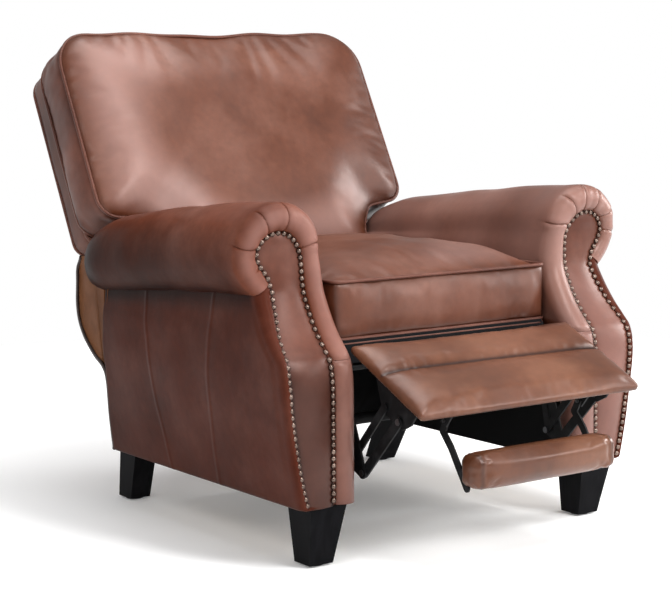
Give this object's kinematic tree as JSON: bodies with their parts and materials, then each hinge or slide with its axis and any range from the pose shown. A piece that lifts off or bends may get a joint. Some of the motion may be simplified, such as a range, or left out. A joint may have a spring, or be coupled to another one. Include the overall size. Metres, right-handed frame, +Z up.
{
  "type": "recliner armchair",
  "caption": "Push-back recliner armchair with scroll arms, nailhead trim, a T-shaped back cushion and a folding footrest with a flip-out front roll.",
  "frame": {"origin": "on the floor under the middle of the chair's bounding box, chair as pictured: footrest half out and back reclined", "axes": "+X towards the sitter's left, -Y the way the sitter faces, +Z up"},
  "size_m": [0.929, 1.3217, 1.0042],
  "materials": {
    "brown_leather": "semi-gloss, mottled and burnished darker at the edges",
    "tan_leather": "semi-gloss, mottled, a little more orange than the body",
    "black_wood": "satin black stain",
    "frame_wood": "plain sawn hardwood, hidden",
    "nail_brass": "antique bronze, domed",
    "black_steel": "black satin paint",
    "bright_steel": "zinc plated",
    "black_cloth": "black lining cloth",
    "webbing": "woven jute webbing, hidden",
    "nylon": "moulded nylon"
  },
  "bodies": {
    "base": {"left_arm_frame": "frame_wood", "right_arm_frame": "frame_wood", "left_arm_side_panel": "brown_leather", "right_arm_side_panel": "brown_leather", "left_arm_inside_panel": "brown_leather", "right_arm_inside_panel": "brown_leather", "left_arm_roll": "brown_leather", "right_arm_roll": "brown_leather", "left_arm_front_panel": "brown_leather", "right_arm_front_panel": "brown_leather", "left_arm_front_pad": "brown_leather", "right_arm_front_pad": "brown_leather", "left_arm_nails": "nail_brass", "right_arm_nails": "nail_brass", "left_arm_rear_panel": "tan_leather", "right_arm_rear_panel": "tan_leather", "left_base_liner": "black_cloth", "right_base_liner": "black_cloth", "left_front_leg": "black_wood", "right_front_leg": "black_wood", "left_rear_leg": "black_wood", "right_rear_leg": "black_wood", "left_track": "black_steel", "right_track": "black_steel", "leg_bolts": "bright_steel", "leg_glides": "nylon", "rear_rail": "frame_wood", "cross_stretcher": "black_steel"},
    "seat": {"seat_frame": "frame_wood", "seat_front_rail_cover": "black_cloth", "seat_springs": "bright_steel", "seat_cushion": "brown_leather", "left_side_plate": "black_steel", "right_side_plate": "black_steel", "glide_blocks": "nylon", "back_pivot_pins": "bright_steel"},
    "back": {"back_cushion": "brown_leather", "outer_back": "brown_leather", "back_frame": "frame_wood", "back_webbing": "webbing", "lower_back_panel": "brown_leather", "back_brackets": "black_steel"},
    "lift_links": {"left_lift_link": "black_steel", "right_lift_link": "black_steel", "lift_torque_rod": "black_steel", "knee_rivets": "bright_steel"},
    "knee_links": {"left_knee_link": "black_steel", "right_knee_link": "black_steel", "pad_rivets": "bright_steel"},
    "control_links": {"left_control_link": "black_steel", "right_control_link": "black_steel"},
    "footrest": {"footrest_board": "frame_wood", "footrest_pad": "tan_leather", "left_footrest_bracket": "black_steel", "right_footrest_bracket": "black_steel", "flip_brackets": "black_steel", "flip_pins": "bright_steel"},
    "flip_rest": {"left_flip_arm": "black_steel", "right_flip_arm": "black_steel", "flip_bolster": "tan_leather"}
  },
  "joints": [
    {"name": "seat_glide", "type": "slide", "parent": "base", "child": "seat", "axis": [0, -1, 0], "range_m": [-0.016, 0.036]},
    {"name": "back_recline", "type": "hinge", "parent": "seat", "child": "back", "pos_m": [0, 0.257, 0.4], "axis": [-1, 0, 0], "range_deg": [-9, 20]},
    {"name": "footrest_lift", "type": "hinge", "parent": "seat", "child": "lift_links", "pos_m": [0, -0.345, 0.356], "axis": [-1, 0, 0], "range_deg": [-68, 26]},
    {"name": "knee_pivot", "type": "hinge", "parent": "lift_links", "child": "knee_links", "pos_m": [0, -0.416, 0.168], "axis": [-1, 0, 0], "range_deg": [-14, 35]},
    {"name": "control_pivot", "type": "hinge", "parent": "lift_links", "child": "control_links", "pos_m": [0, -0.3773, 0.1856], "axis": [-1, 0, 0], "range_deg": [-14, 35]},
    {"name": "pad_pivot", "type": "hinge", "parent": "knee_links", "child": "footrest", "pos_m": [0, -0.523, 0.28], "axis": [-1, 0, 0], "range_deg": [-32, 12]},
    {"name": "flip_pivot", "type": "hinge", "parent": "footrest", "child": "flip_rest", "pos_m": [0, -0.5604, 0.2797], "axis": [-1, 0, 0], "range_deg": [-124, 48]}
  ],
  "couplings": [
    {"joint": "seat_glide", "follows": "back_recline", "m_per_rad": 0.1},
    {"joint": "knee_pivot", "follows": "footrest_lift", "ratio": -0.505},
    {"joint": "control_pivot", "follows": "footrest_lift", "ratio": -0.502},
    {"joint": "pad_pivot", "follows": "footrest_lift", "ratio": 0.457},
    {"joint": "flip_pivot", "follows": "footrest_lift", "ratio": 1.81}
  ]
}
